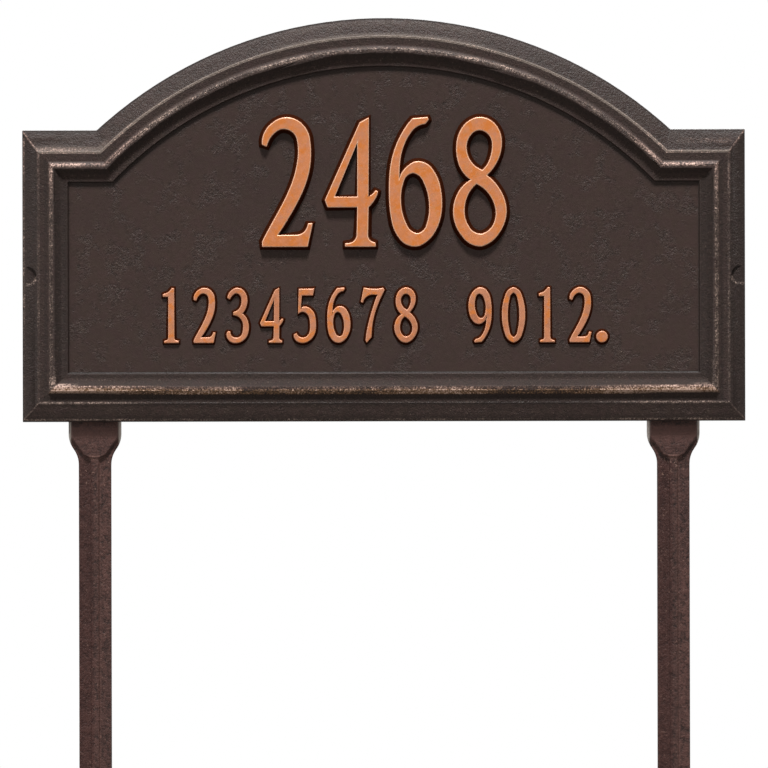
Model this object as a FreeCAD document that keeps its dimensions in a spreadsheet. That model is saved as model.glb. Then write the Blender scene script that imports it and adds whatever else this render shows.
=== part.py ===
import FreeCAD, Part
import math
import os
import types

import Sketcher
from FreeCAD import Placement, Rotation, Vector

# House number plaque: an arched cast plate with a moulded border and raised numbers, screwed to
# the heads of two lawn stakes. Millimetres. X runs to the right, Z up, and the front faces -Y.
# The origin lies midway between the points of the stakes, in the plane of the plate's back.

SIZES = [
    # plate outline
    ("plate_width", 432.0, "width over the straight sides"),
    ("shoulder_height", 174.4, "bottom edge to the flat shoulders"),
    ("arch_radius", 253.4, "outer radius of the arch"),
    ("arch_drop", 12.2, "arch centre below the bottom edge"),
    # border, from the outside in
    ("rim_height", 5.1, "height of the plate's outer wall"),
    ("rim_draft", 0.5, "draft of the outer wall"),
    ("bevel_side", 10.0, "bevel width along the sides"),
    ("bevel_bottom", 11.2, "bevel width along the bottom"),
    ("bevel_shoulder", 13.5, "bevel width on the shoulders"),
    ("bevel_arch", 11.5, "bevel width round the arch"),
    ("edge_height", 8.5, "height of the sharp edge inside the bevel"),
    ("edge_width", 0.5, "run of the edge down to the fillet"),
    ("fillet_height", 8.25, "flat fillet between the edge and the ridge"),
    ("fillet_width", 2.6, "width of the fillet"),
    ("margin_height", 8.75, "narrow margin at the ridge's foot"),
    ("margin_width", 1.0, "width of the margin, and of the step up to it"),
    ("ridge_height", 11.3, "height of the ridge's crown"),
    ("ridge_rise", 3.2, "run of the ridge's outer flank"),
    ("ridge_crown", 0.7, "flat of the ridge's crown"),
    ("ridge_fall", 6.4, "run of the ridge's long inner flank"),
    ("lip_height", 8.0, "height of the lip round the panel"),
    ("lip_width", 2.2, "width of the lip"),
    ("step_width", 0.6, "run of the step down to the panel"),
    ("panel_height", 6.4, "height of the flat panel"),
    # back of the plate
    ("wall", 5.0, "rim wall left round the hollow back"),
    ("hollow_depth", 3.2, "depth of the hollow"),
    ("boss_radius", 7.5, "bosses for the stake screws"),
    ("tapped_depth", 4.8, "depth of the tapped holes"),
    # spot faces in the side bevels
    ("spot_radius", 5.3, "radius of a spot face"),
    ("spot_inset", 3.5, "spot face centre from the side"),
    ("spot_height", 5.9, "level of a spot face"),
    # raised numbers
    ("relief", 3.6, "height of the large numbers above the panel"),
    ("line_relief", 1.7, "height of the small numbers above the panel"),
    ("number_height", 77.0, "height of the large numbers"),
    ("number_base", 104.2, "base line of the large numbers"),
    ("number_pitch", 38.2, "spacing of the large numbers"),
    ("line_height", 32.4, "height of the small numbers"),
    ("line_base", 47.2, "base line of the small numbers"),
    ("line_pitch", 20.0, "spacing of the small numbers"),
    ("line_start", -126.8, "middle of the first small number"),
    ("line_second", 57.3, "middle of the second group's first number"),
    ("stop_radius", 3.1, "round stop after the second group"),
    ("stop_place", 130.0, "middle of the round stop"),
    # stakes
    ("stake_length", 457.0, "length of a stake"),
    ("stake_overlap", 60.0, "stake head behind the plate"),
    ("stake_inset", 42.9, "middle of a stake in from the side of the plate"),
    ("head_width", 31.4, "width of the stake head"),
    ("head_corner", 6.0, "corner radius of the stake head"),
    ("bar_width", 19.3, "width of the bar"),
    ("neck_start", 7.05, "neck begins below the plate"),
    ("neck_length", 18.5, "length of the S-shaped neck"),
    ("flange", 4.3, "thickness of the stake's flange"),
    ("pad_depth", 1.9, "head pad in front of the flange"),
    ("rib_step", 0.7, "rib behind the face of the head pad"),
    ("rib_width", 5.6, "width of the rib"),
    ("pad_margin", 1.2, "flange left beside the head pad"),
    ("pad_narrowing", 9.6, "head pad begins to narrow below the plate"),
    ("pad_foot_width", 14.0, "width of the pad's round foot"),
    ("pad_foot_start", 20.2, "round foot begins below the plate"),
    ("pad_foot_radius", 12.7, "radius of the pad's round foot"),
    ("pad_draft", 22.0, "draft of the rib and pad walls, degrees"),
    ("point_length", 48.0, "tapered point of the stake"),
    ("point_width", 3.0, "width of the blunt point"),
    # stake screws
    ("screw_radius", 2.4, "radius of the screw shank"),
    ("screw_clearance", 0.3, "radial clearance in the stake head"),
    ("thread_clearance", 0.05, "radial clearance in the tapped holes"),
    ("screw_grip", 4.2, "screw length inside the boss"),
    ("screw_head_radius", 4.7, "radius of the pan head"),
    ("screw_head_height", 3.3, "height of the pan head"),
    ("recess_length", 5.2, "length of the cross recess"),
    ("recess_width", 1.3, "width of the cross recess"),
    ("recess_depth", 1.8, "depth of the cross recess"),
    ("screw_lower", 12.0, "lower screw above the plate's bottom edge"),
    ("screw_spacing", 36.0, "distance between a stake's two screws"),
]

doc = FreeCAD.newDocument("house_number_plaque")
sheet = doc.addObject("Spreadsheet::Sheet", "sizes")
for row, (alias, number, note) in enumerate(SIZES, start=1):
    sheet.set(f"A{row}", note)
    sheet.set(f"B{row}", str(number))
    sheet.setAlias(f"B{row}", alias)
doc.recompute()


# Sizes that carry both their number and the sheet expression that drives them
class Size:
    def __init__(self, value, text=None):
        self.value = float(value)
        self.text = text if text else f"{self.value:.6g}"

    def combine(self, other, sign, value):
        return Size(value, f"({self.text} {sign} {other.text})")

    def __add__(self, other):
        other = as_size(other)
        return self.combine(other, "+", self.value + other.value)

    def __sub__(self, other):
        other = as_size(other)
        return self.combine(other, "-", self.value - other.value)

    def __mul__(self, other):
        other = as_size(other)
        return self.combine(other, "*", self.value * other.value)

    def __truediv__(self, other):
        other = as_size(other)
        return self.combine(other, "/", self.value / other.value)

    def __neg__(self):
        return Size(-self.value, f"(-1 * {self.text})")

    def root(self):
        return Size(math.sqrt(self.value), f"sqrt({self.text})")


def as_size(value):
    return value if isinstance(value, Size) else Size(value)


z = types.SimpleNamespace()
for alias, number, note in SIZES:
    setattr(z, alias, Size(getattr(sheet, alias), f"sizes.{alias}"))

ZERO = Size(0)
plate_bottom = z.stake_length - z.stake_overlap
arch_centre = plate_bottom - z.arch_drop
stake_x = z.plate_width / 2 - z.stake_inset


# Helpers for bodies, sketches and features
def new_body(name):
    body = doc.addObject("PartDesign::Body", name)
    body.Label = name
    return body


def origin_plane(body, role):
    return next(part for part in body.Origin.OriginFeatures if part.Role == role)


def new_sketch(body, name, plane, offset):
    """A sketch on one of the body's origin planes, moved along that plane's normal."""
    sketch = body.newObject("Sketcher::SketchObject", name)
    sketch.AttachmentSupport = [(origin_plane(body, plane), "")]
    sketch.MapMode = "FlatFace"
    sketch.AttachmentOffset = Placement(Vector(0, 0, offset.value), Rotation())
    sketch.setExpression("AttachmentOffset.Base.z", offset.text)
    return sketch


def bind(sketch, kind, *parts):
    """Adds a dimension whose last part is a Size and ties it to the sheet."""
    size = parts[-1]
    index = sketch.addConstraint(Sketcher.Constraint(kind, *parts[:-1], size.value))
    sketch.setExpression(f"Constraints[{index}]", size.text)


def arc_through(start, end, radius, side):
    """The short arc between two points; side 1 bulges to the left of the way, -1 to the right.

    It is always drawn counterclockwise, so with side 1 it starts at the second point.
    """
    chord = end - start
    middle = (start + end) * 0.5
    left = Vector(-chord.y, chord.x, 0).normalize()
    half = chord.Length / 2
    sagitta = radius - math.sqrt(max(radius * radius - half * half, 0))
    top = middle + left * (side * sagitta)
    return Part.Arc(end, top, start) if side > 0 else Part.Arc(start, top, end)


def draw_outline(sketch, points, arcs):
    """A closed outline through points of Sizes; arcs maps an edge's number to (radius, side)."""
    places = [Vector(x.value, y.value, 0) for x, y in points]
    count = len(points)
    first = sketch.GeometryCount
    for i in range(count):
        start = places[i]
        end = places[(i + 1) % count]
        if i in arcs:
            radius, side = arcs[i]
            sketch.addGeometry(arc_through(start, end, radius.value, side))
        else:
            sketch.addGeometry(Part.LineSegment(start, end))
    turned = [i in arcs and arcs[i][1] > 0 for i in range(count)]
    ends = [(2, 1) if turned[i] else (1, 2) for i in range(count)]
    for i in range(count):
        after = (i + 1) % count
        sketch.addConstraint(
            Sketcher.Constraint("Coincident", first + i, ends[i][1], first + after, ends[after][0])
        )
        bind(sketch, "DistanceX", -1, 1, first + i, ends[i][0], points[i][0])
        bind(sketch, "DistanceY", -1, 1, first + i, ends[i][0], points[i][1])
        if i in arcs:
            bind(sketch, "Radius", first + i, arcs[i][0])


def draw_circle(sketch, x, y, radius):
    index = sketch.addGeometry(Part.Circle(Vector(x.value, y.value, 0), Vector(0, 0, 1), radius.value))
    bind(sketch, "DistanceX", -1, 1, index, 3, x)
    bind(sketch, "DistanceY", -1, 1, index, 3, y)
    bind(sketch, "Radius", index, radius)


def pad(body, name, sketch, length, draft=None):
    feature = body.newObject("PartDesign::Pad", name)
    feature.Profile = sketch
    feature.Length = length.value
    feature.setExpression("Length", length.text)
    if draft:
        feature.TaperAngle = draft.value
        feature.setExpression("TaperAngle", draft.text)
    doc.recompute()
    return feature


def pocket_forward(body, name, sketch, length):
    """A pocket that cuts along the sketch's normal, checked to have removed material."""
    before = body.Shape.Volume
    feature = body.newObject("PartDesign::Pocket", name)
    feature.Profile = sketch
    feature.Length = length.value
    feature.setExpression("Length", length.text)
    feature.Reversed = True
    doc.recompute()
    assert body.Shape.Volume < before - 1, f"{name} removed nothing"
    return feature


# Border of the plate: nested outlines, each at its inset and height, joined by ruled bands.
# Every arch arc is split at the same two directions, so its long middle bands are true cones.
corner_rise = z.shoulder_height + z.arch_drop
corner_reach = (z.arch_radius * z.arch_radius - corner_rise * corner_rise).root()
split_sine = corner_reach / z.arch_radius * 0.97
split_cosine = (Size(1) - split_sine * split_sine).root()


def plate_outline(body, name, bevel_share, run, height):
    """One outline; bevel_share takes that part of each side's bevel and run moves all sides in."""
    sketch = new_sketch(body, name, "XZ_Plane", height)
    low = plate_bottom + z.bevel_bottom * bevel_share + run
    half = z.plate_width / 2 - z.bevel_side * bevel_share - run
    shoulder = plate_bottom + z.shoulder_height - z.bevel_shoulder * bevel_share - run
    radius = z.arch_radius - z.bevel_arch * bevel_share - run
    rise = shoulder - arch_centre
    reach = (radius * radius - rise * rise).root()
    split_x = radius * split_sine
    split_z = arch_centre + radius * split_cosine
    points = [
        (-half, low),
        (half, low),
        (half, shoulder),
        (reach, shoulder),
        (split_x, split_z),
        (-split_x, split_z),
        (-reach, shoulder),
        (-half, shoulder),
    ]
    arch = (radius, -1)
    draw_outline(sketch, points, {3: arch, 4: arch, 5: arch})
    return sketch


# Curves of the border as (share of the run, share of the height)
BEVEL_SWELL = ((0.35, 0.42), (0.8, 0.74), (1, 1))
RIDGE_RISE = ((0.3, 0.2), (0.62, 0.66), (0.85, 0.92), (1, 1))
RIDGE_FALL = ((0.15, 0.95), (0.35, 0.62), (0.52, 0.34), (0.75, 0.1), (1, 0))


def border_stations():
    """(share of the bevel, run inside it, height) from the back edge to the panel."""
    stations = [(0, ZERO, ZERO), (0, z.rim_draft, z.rim_height)]
    climb = z.edge_height - z.rim_height
    for share, rise in BEVEL_SWELL:
        stations.append((share, z.rim_draft * (1 - share), z.rim_height + climb * rise))
    fillet = z.edge_width + z.fillet_width
    margin = fillet + z.margin_width * 2
    stations.append((1, z.edge_width, z.fillet_height))
    stations.append((1, fillet, z.fillet_height))
    stations.append((1, fillet + z.margin_width, z.margin_height))
    stations.append((1, margin, z.margin_height))
    crown = z.ridge_height - z.margin_height
    for share, rise in RIDGE_RISE:
        stations.append((1, margin + z.ridge_rise * share, z.margin_height + crown * rise))
    inside = margin + z.ridge_rise + z.ridge_crown
    stations.append((1, inside, z.ridge_height))
    drop = z.ridge_height - z.lip_height
    for share, left in RIDGE_FALL:
        stations.append((1, inside + z.ridge_fall * share, z.lip_height + drop * left))
    lip = inside + z.ridge_fall + z.lip_width
    stations.append((1, lip, z.lip_height))
    stations.append((1, lip + z.step_width, z.panel_height))
    return stations


# Number outlines in hundredths of their height: x, y, and 1 for a corner or 0 where the line
# runs smoothly through the point
def oval(middle_x, middle_y, half_width, half_height, lean=0.0):
    """Points for eight arcs round an oval; lean shifts its top left and its bottom right."""
    loop = []
    for i in range(16):
        angle = 2 * math.pi * i / 16
        rise = half_height * math.sin(angle)
        loop.append((middle_x + half_width * math.cos(angle) - lean * rise, middle_y + rise, 0))
    return loop


NINE = [
    [
        (11, 0, 1), (23, 1, 1), (33, 16, 0), (39, 33, 0), (41, 58, 0), (39, 80, 0), (32, 95, 0),
        (21, 100, 0), (8, 92, 0), (0.5, 72, 0), (2, 52, 0), (9, 38.5, 0), (19, 34, 0), (27, 38, 0),
        (33, 47, 1), (32.5, 33, 0), (27, 16, 0), (20, 7.5, 0), (13, 5, 1), (10.5, 2, 1),
    ],
    oval(21, 66.5, 11, 23.5, 0.07),
]
NUMBERS = {
    "0": [oval(20.5, 50, 20.5, 50), oval(20.5, 50, 11.5, 42)],
    "1": [
        [
            (8, 0, 1), (34, 0, 1), (34, 3, 1), (27, 5, 0), (25.5, 10, 1), (25.5, 100, 1),
            (22, 100, 1), (15, 92, 0), (6, 89, 1), (6, 85, 1), (16, 85, 1), (16, 10, 1),
            (14.5, 5, 0), (8, 3, 1),
        ],
    ],
    "2": [
        [
            (1, 0, 1), (36, 0, 1), (40, 18, 1), (36.5, 18, 1), (33, 11, 0), (28, 9, 1), (13, 9, 1),
            (28, 34, 0), (37, 57, 0), (38.5, 77, 0), (33, 94, 0), (20, 100, 0), (8, 95, 0),
            (1, 79, 1), (4.5, 77.5, 1), (10.5, 88, 0), (18, 91.5, 0), (26, 87, 0), (29, 74, 0),
            (26, 55, 0), (14, 28, 0), (1, 4, 1),
        ],
    ],
    "3": [
        [
            (1.5, 20, 1), (0.5, 10, 0), (8, 1.5, 0), (18, 0, 0), (33, 8, 0), (39, 26, 0),
            (36, 43, 0), (27, 53, 1), (34, 64, 0), (36.5, 78, 0), (31, 94, 0), (19, 100, 0),
            (7, 94, 0), (1.5, 82, 1), (5, 80, 1), (11, 88.5, 0), (18, 91.5, 0), (25.5, 86, 0),
            (27.5, 76, 0), (23, 62, 0), (12, 55.5, 1), (12, 51, 1), (23, 47, 0), (29.5, 37, 0),
            (30, 24, 0), (26, 12, 0), (18, 8, 0), (10, 10, 0), (5.5, 20, 1),
        ],
    ],
    "4": [
        [
            (34, 100, 1), (33.5, 39, 1), (36, 40, 0), (39, 43.5, 1), (41, 42.5, 1), (37.5, 35, 0),
            (33.5, 30.5, 1), (33, 8.5, 1), (34.5, 5, 0), (39, 3, 1), (39, 0, 1), (15.5, 0, 1),
            (15.5, 2.5, 1), (23, 5, 0), (24.5, 8.5, 1), (25, 30.5, 1), (2, 30.5, 1),
            (0, 36, 1), (27, 96, 1),
        ],
        [(25, 80, 1), (25, 38.5, 1), (7.5, 38.5, 1)],
    ],
    "5": [
        [
            (9, 98, 1), (34, 98, 1), (37, 100, 1), (34, 87, 1), (13.5, 87, 1), (12, 62.5, 1),
            (20, 65, 0), (33, 58, 0), (39, 37, 0), (35, 12, 0), (17, 0, 0), (4, 4, 0), (0, 14, 1),
            (4, 17, 1), (9, 10, 0), (17, 8, 0), (26.5, 14, 0), (30, 34, 0), (26, 51, 0),
            (18, 57, 0), (7.5, 53, 1),
        ],
    ],
    "6": [[(41 - x, 100 - y, corner) for x, y, corner in loop] for loop in NINE],
    "7": [
        [
            (5, 100, 1), (21, 97.5, 0), (40, 99.5, 1), (42, 96, 1), (27.5, 64, 0), (19.5, 33, 0),
            (18, 10, 1), (10, 0, 1), (8.5, 4, 1), (12, 26, 0), (21, 60, 0), (30, 87, 1),
            (13.5, 87, 0), (6.5, 82, 0), (2.5, 73, 1), (0, 74.5, 1),
        ],
    ],
    "8": [
        [
            (26, 55, 1), (36, 44, 0), (41, 29, 0), (37, 13, 0), (20, 0, 0), (4, 12, 0),
            (0, 28, 0), (4, 42, 0), (13.5, 51.5, 1), (5, 62, 0), (2.5, 75, 0), (7, 92, 0),
            (20, 100, 0), (33, 94, 0), (37.5, 80, 0), (35, 68, 0),
        ],
        [
            (22.5, 59, 1), (30, 74, 0), (27.5, 86.5, 0), (20, 90, 0), (12, 84, 0), (10.5, 73, 0),
            (15, 64, 0),
        ],
        [
            (18, 48.5, 1), (30, 37, 0), (33, 25, 0), (29, 14, 0), (20, 9.5, 0), (11.5, 16, 0),
            (8.5, 29, 0), (11.5, 40.5, 0),
        ],
    ],
    "9": NINE,
}
LARGE_LINE = "2468"
FIRST_GROUP = "12345678"
SECOND_GROUP = "9012"
HALF_NUMBER = 20.5


def arcs_through(places):
    """Arcs end to end, each through three points."""
    return [Part.Arc(*places[i : i + 3]) for i in range(0, len(places) - 1, 2)]


def arcs_along(points):
    """A smooth bend through the points, as one arc for each stretch between them."""
    bend = Part.BSplineCurve()
    bend.interpolate(points)
    start = bend.FirstParameter
    reach = bend.LastParameter - start
    steps = 2 * (len(points) - 1)
    return arcs_through([bend.value(start + reach * i / steps) for i in range(steps + 1)])


def add_loop(sketch, loop, left, base, scale):
    """One closed loop of a number: straight between corners, arcs through its smooth points."""
    points = [Vector(left + x * scale, base + y * scale, 0) for x, y, corner in loop]
    corners = [i for i, (x, y, corner) in enumerate(loop) if corner]
    pieces = []
    if not corners:
        pieces += arcs_through(points + points[:1])
    for k, start in enumerate(corners):
        end = corners[(k + 1) % len(corners)]
        span = (end - start) % len(loop) or len(loop)
        run = [points[(start + i) % len(loop)] for i in range(span + 1)]
        if len(run) == 2:
            pieces.append(Part.LineSegment(run[0], run[1]))
        else:
            pieces += arcs_along(run)
    for piece in pieces:
        index = sketch.addGeometry(piece)
        sketch.addConstraint(Sketcher.Constraint("Block", index))


def add_number(sketch, digit, middle, base, height):
    scale = height.value / 100
    left = middle.value - HALF_NUMBER * scale
    for loop in NUMBERS[digit]:
        add_loop(sketch, loop, left, base.value, scale)


def raised_numbers(body):
    """The two lines of numbers, both standing on the panel and rooted a little inside it."""
    root = Size(0.5)
    level = z.panel_height - root
    large = new_sketch(body, "large_numbers", "XZ_Plane", level)
    for i, digit in enumerate(LARGE_LINE):
        place = z.number_pitch * (i - (len(LARGE_LINE) - 1) / 2)
        add_number(large, digit, place, plate_bottom + z.number_base, z.number_height)
    pad(body, "large_number_relief", large, z.relief + root)
    small = new_sketch(body, "small_numbers", "XZ_Plane", level)
    for start, group in ((z.line_start, FIRST_GROUP), (z.line_second, SECOND_GROUP)):
        for i, digit in enumerate(group):
            place = start + z.line_pitch * i
            add_number(small, digit, place, plate_bottom + z.line_base, z.line_height)
    draw_circle(small, z.stop_place, plate_bottom + z.line_base + z.stop_radius, z.stop_radius)
    pad(body, "small_number_relief", small, z.line_relief + root)


# The plaque casting
def screw_places():
    """Centres of one stake's two screws, given for the right-hand stake."""
    low = plate_bottom + z.screw_lower
    return {"lower": (stake_x, low), "upper": (stake_x, low + z.screw_spacing)}


def make_plaque():
    body = new_body("plaque")
    outlines = []
    for i, (share, run, height) in enumerate(border_stations()):
        outlines.append(plate_outline(body, f"border_{i:02d}", share, run, height))
    doc.recompute()
    border = body.newObject("PartDesign::AdditiveLoft", "border")
    border.Profile = outlines[0]
    border.Sections = outlines[1:]
    border.Ruled = True
    doc.recompute()

    hollow = plate_outline(body, "hollow_outline", 0, z.wall, ZERO)
    pocket_forward(body, "hollow", hollow, z.hollow_depth)

    bosses = new_sketch(body, "boss_circles", "XZ_Plane", ZERO)
    tapped = new_sketch(body, "tapped_circles", "XZ_Plane", ZERO)
    for side in (-1, 1):
        for x, height in screw_places().values():
            draw_circle(bosses, x * side, height, z.boss_radius)
            draw_circle(tapped, x * side, height, z.screw_radius + z.thread_clearance)
    pad(body, "bosses", bosses, z.hollow_depth + 0.5)
    pocket_forward(body, "tapped_holes", tapped, z.tapped_depth)

    spots = new_sketch(body, "spot_circles", "XZ_Plane", z.spot_height)
    for side in (-1, 1):
        x = (z.plate_width / 2 - z.spot_inset) * side
        draw_circle(spots, x, plate_bottom + z.shoulder_height / 2, z.spot_radius)
    pocket_forward(body, "spot_faces", spots, z.ridge_height)

    raised_numbers(body)
    return body


# A stake: flange with head, neck and point, and in front of it a rib below the head pad
def make_stake(name, side):
    body = new_body(name)
    back = -(z.pad_depth + z.flange)
    top = z.stake_length
    head = z.head_width / 2
    bar = z.bar_width / 2
    tip = z.point_width / 2
    neck_top = plate_bottom - z.neck_start
    neck_end = neck_top - z.neck_length
    narrowing = head - bar
    middle = (head + bar) / 2
    neck_middle = (neck_top + neck_end) / 2
    neck_radius = (narrowing * narrowing + z.neck_length * z.neck_length) / (narrowing * 4)
    right_half = [
        (head, top - z.head_corner),
        (head, neck_top),
        (middle, neck_middle),
        (bar, neck_end),
        (bar, z.point_length),
        (tip, ZERO),
    ]
    left_half = [(-x, height) for x, height in reversed(right_half)]
    corner = head - z.head_corner
    points = [(corner, top)] + right_half + left_half + [(-corner, top)]
    last = len(points) - 1
    arcs = {
        0: (z.head_corner, 1),
        2: (neck_radius, 1),
        3: (neck_radius, -1),
        last - 4: (neck_radius, -1),
        last - 3: (neck_radius, 1),
        last - 1: (z.head_corner, 1),
    }
    flange = new_sketch(body, f"{name}_flange_outline", "XZ_Plane", back)
    draw_outline(flange, points, arcs)
    pad(body, f"{name}_flange", flange, z.flange)

    root = Size(0.4)
    start = -(z.pad_depth + root)
    rib = z.rib_width / 2
    rib_points = [
        (-rib, neck_top),
        (rib, neck_top),
        (rib, z.point_length / 2),
        (rib / 2, z.point_width),
        (-(rib / 2), z.point_width),
        (-rib, z.point_length / 2),
    ]
    rib_outline = new_sketch(body, f"{name}_rib_outline", "XZ_Plane", start)
    draw_outline(rib_outline, rib_points, {})
    pad(body, f"{name}_rib", rib_outline, z.pad_depth - z.rib_step + root, -z.pad_draft)

    # the pad narrows between the curves of the neck and ends in a round foot
    pad_half = head - z.pad_margin
    shoulder = pad_half - z.head_corner / 2
    pad_top = top - z.pad_margin
    foot = z.pad_foot_width / 2
    side_end = plate_bottom - z.pad_narrowing
    foot_start = plate_bottom - z.pad_foot_start
    pad_points = [
        (shoulder, pad_top),
        (pad_half, pad_top - z.head_corner / 2),
        (pad_half, side_end),
        (foot, foot_start),
        (-foot, foot_start),
        (-pad_half, side_end),
        (-pad_half, pad_top - z.head_corner / 2),
        (-shoulder, pad_top),
    ]
    pad_outline = new_sketch(body, f"{name}_pad_outline", "XZ_Plane", start)
    draw_outline(pad_outline, pad_points, {3: (z.pad_foot_radius, 1)})
    pad(body, f"{name}_pad", pad_outline, z.pad_depth + root, -z.pad_draft)

    holes = new_sketch(body, f"{name}_hole_circles", "XZ_Plane", back)
    for x, height in screw_places().values():
        draw_circle(holes, ZERO, height, z.screw_radius + z.screw_clearance)
    pocket_forward(body, f"{name}_holes", holes, z.pad_depth + z.flange)
    body.Placement = Placement(Vector(stake_x.value * side, 0, 0), Rotation())
    body.setExpression("Placement.Base.x", (stake_x * side).text)
    return body


# A pan-head screw with a cross recess, its head against the back of the stake
def make_screw(name, side, height):
    body = new_body(name)
    reach = z.pad_depth + z.flange + z.screw_grip
    profile = new_sketch(body, f"{name}_profile", "XZ_Plane", ZERO)
    head = z.screw_head_radius
    top = z.screw_head_height
    points = [
        (ZERO, -reach),
        (z.screw_radius, -reach),
        (z.screw_radius, ZERO),
        (head, ZERO),
        (head, top / 2),
        (head * 0.75, top),
        (ZERO, top),
    ]
    draw_outline(profile, points, {})
    turned = body.newObject("PartDesign::Revolution", f"{name}_turned")
    turned.Profile = profile
    turned.ReferenceAxis = (profile, ["V_Axis"])
    turned.Angle = 360
    doc.recompute()

    arm = z.recess_length / 2
    width = z.recess_width / 2
    cross = []
    quarter = [(arm, -width), (arm, width), (width, width)]
    for turn in range(4):
        for x, y in quarter:
            cross.append((x, y))
        quarter = [(-y, x) for x, y in quarter]
    recess = new_sketch(body, f"{name}_cross", "XY_Plane", top - z.recess_depth)
    draw_outline(recess, cross, {})
    before = body.Shape.Volume
    cut = body.newObject("PartDesign::Pocket", f"{name}_recess")
    cut.Profile = recess
    cut.Length = z.recess_depth.value * 2
    cut.setExpression("Length", (z.recess_depth * 2).text)
    cut.Reversed = True
    doc.recompute()
    assert body.Shape.Volume < before - 1, f"{name} has no recess"

    seat = z.pad_depth + z.flange
    body.Placement = Placement(
        Vector(stake_x.value * side, seat.value, height.value), Rotation(Vector(1, 0, 0), -90)
    )
    body.setExpression("Placement.Base.x", (stake_x * side).text)
    body.setExpression("Placement.Base.y", seat.text)
    body.setExpression("Placement.Base.z", height.text)
    return body


bodies = [make_plaque()]
for side_name, side in (("left", -1), ("right", 1)):
    bodies.append(make_stake(f"stake_{side_name}", side))
    for level, (x, height) in screw_places().items():
        bodies.append(make_screw(f"screw_{side_name}_{level}", side, height))
doc.recompute()

# Every object must be sound before anything is written
for item in doc.Objects:
    assert "Invalid" not in item.State and "Error" not in item.State, item.Name
for body in bodies:
    shape = body.Shape
    assert not shape.isNull() and shape.isValid(), body.Label
    assert len(shape.Solids) == 1, body.Label

os.makedirs("parts", exist_ok=True)
for body in bodies:
    body.Shape.exportStep(os.path.join("parts", f"{body.Label}.step"))
    print(body.Label, round(body.Shape.Volume), len(body.Shape.Faces))
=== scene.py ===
import math

import bpy
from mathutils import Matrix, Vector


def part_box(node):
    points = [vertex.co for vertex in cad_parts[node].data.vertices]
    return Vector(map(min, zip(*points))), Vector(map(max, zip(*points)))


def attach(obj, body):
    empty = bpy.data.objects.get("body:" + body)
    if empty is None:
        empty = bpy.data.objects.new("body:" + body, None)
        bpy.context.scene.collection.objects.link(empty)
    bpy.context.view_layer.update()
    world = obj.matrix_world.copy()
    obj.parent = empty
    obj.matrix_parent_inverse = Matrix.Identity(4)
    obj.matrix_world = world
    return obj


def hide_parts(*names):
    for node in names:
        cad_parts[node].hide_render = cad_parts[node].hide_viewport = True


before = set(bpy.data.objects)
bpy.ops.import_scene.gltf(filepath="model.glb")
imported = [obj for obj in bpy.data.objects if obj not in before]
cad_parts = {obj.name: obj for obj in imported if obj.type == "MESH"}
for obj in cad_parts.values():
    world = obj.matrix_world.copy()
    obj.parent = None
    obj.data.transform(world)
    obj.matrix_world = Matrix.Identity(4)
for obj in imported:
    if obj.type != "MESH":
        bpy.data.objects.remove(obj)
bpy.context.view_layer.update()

# Metres, in the part's own frame: X right, Z up, the numbers face -Y and the plate's back is y = 0.
MM = 0.001
plate_low, plate_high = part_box("plaque")

# Plate outline and border, as in the casting's own drawing
HALF_WIDTH = plate_high.x
PLATE_BOTTOM = plate_low.z
SHOULDER = PLATE_BOTTOM + 174.4 * MM
ARCH_CENTRE = PLATE_BOTTOM - 12.2 * MM
ARCH_RADIUS = plate_high.z - ARCH_CENTRE
BEVEL_SIDE = 10.0 * MM
BEVEL_BOTTOM = 11.2 * MM
BEVEL_SHOULDER = 13.5 * MM
BEVEL_ARCH = 11.5 * MM
PANEL_START = 18.2 * MM
SPOT_INSET = 3.5 * MM
SPOT_RADIUS = 5.3 * MM
SPOT_CENTRE = PLATE_BOTTOM + 87.2 * MM
LINE_SPLIT = PLATE_BOTTOM + 92 * MM
STAKE_CENTRE = 173.1 * MM

# Heights in front of the back
RIM_LEVEL = 5.1 * MM
PANEL_LEVEL = 6.4 * MM
SMALL_LEVEL = 8.1 * MM
LARGE_LEVEL = 10.0 * MM
CROWN_LEVEL = 11.3 * MM

# How the castings are joined up and softened
LOOSE_SEAM = 0.005 * MM
SHORT_EDGE = 0.05 * MM
HAIR = 0.002 * MM
NEARLY_FLAT = math.radians(0.2)
HARD_EDGE = math.radians(28)
SMOOTH_BELOW = math.radians(40)
CROWN_WIDTH = 1.1 * MM
RIM_ROUNDING = 0.9 * MM
PLATE_ROUNDING = 0.3 * MM
STAKE_ROUNDING = 0.5 * MM
SCREW_ROUNDING = 0.25 * MM

# How the numbers are finished
NUMBER_FLAT = math.radians(0.5)
NUMBER_HARD_EDGE = math.radians(35)
NUMBER_SMOOTH_BELOW = math.radians(50)
SINK = 0.4 * MM


def border_inset(x, z):
    """Distance inside the border's sharp edge, the same all round, below zero on the bevel."""
    side = HALF_WIDTH - abs(x) - BEVEL_SIDE
    bottom = z - PLATE_BOTTOM - BEVEL_BOTTOM
    shoulder = SHOULDER - z - BEVEL_SHOULDER
    arch = ARCH_RADIUS - math.hypot(x, z - ARCH_CENTRE) - BEVEL_ARCH
    return min(side, bottom, max(shoulder, arch))


def from_outline(x, z):
    """Distance in from the plate's outer wall."""
    arch = ARCH_RADIUS - math.hypot(x, z - ARCH_CENTRE)
    return min(HALF_WIDTH - abs(x), z - PLATE_BOTTOM, max(SHOULDER - z, arch))


# Modelling helpers
def select_only(piece):
    bpy.ops.object.select_all(action="DESELECT")
    piece.select_set(True)
    bpy.context.view_layer.objects.active = piece


def edit(piece, mode="FACE"):
    select_only(piece)
    bpy.ops.object.mode_set(mode="EDIT")
    bpy.ops.mesh.select_mode(type=mode)


def done():
    bpy.ops.object.mode_set(mode="OBJECT")


def mark_faces(piece, test):
    """Selects the faces whose centre passes the test, and nothing else."""
    mesh = piece.data
    for part in (mesh.vertices, mesh.edges):
        part.foreach_set("select", [False] * len(part))
    mesh.polygons.foreach_set("select", [test(face.center) for face in mesh.polygons])


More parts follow.
